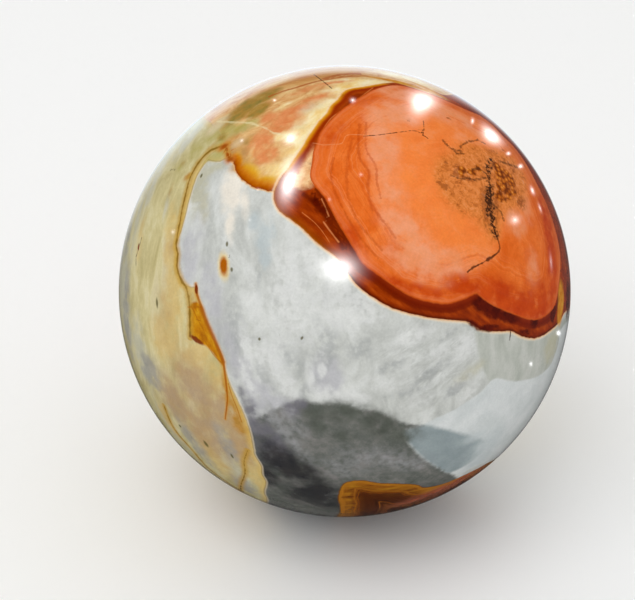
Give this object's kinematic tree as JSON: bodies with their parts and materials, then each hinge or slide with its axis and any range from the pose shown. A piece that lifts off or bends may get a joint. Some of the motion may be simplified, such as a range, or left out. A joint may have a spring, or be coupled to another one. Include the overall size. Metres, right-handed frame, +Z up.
{
  "type": "polychrome jasper sphere",
  "caption": "Polished solid stone sphere with swirling orange, brown, grey and khaki jasper markings, resting on a tiny ground flat.",
  "frame": {"origin": "centre of the small ground flat that the sphere rests on", "axes": "+Z up through the sphere's centre; -Y faces the side that shows the orange eye, with +X to that side's right"},
  "size_m": [0.12, 0.12, 0.1196],
  "materials": {
    "polychrome_jasper": "mirror-polished opaque jasper, banded orange, brown, grey and khaki"
  },
  "bodies": {
    "root": {"jasper_sphere": "polychrome_jasper"}
  },
  "joints": []
}
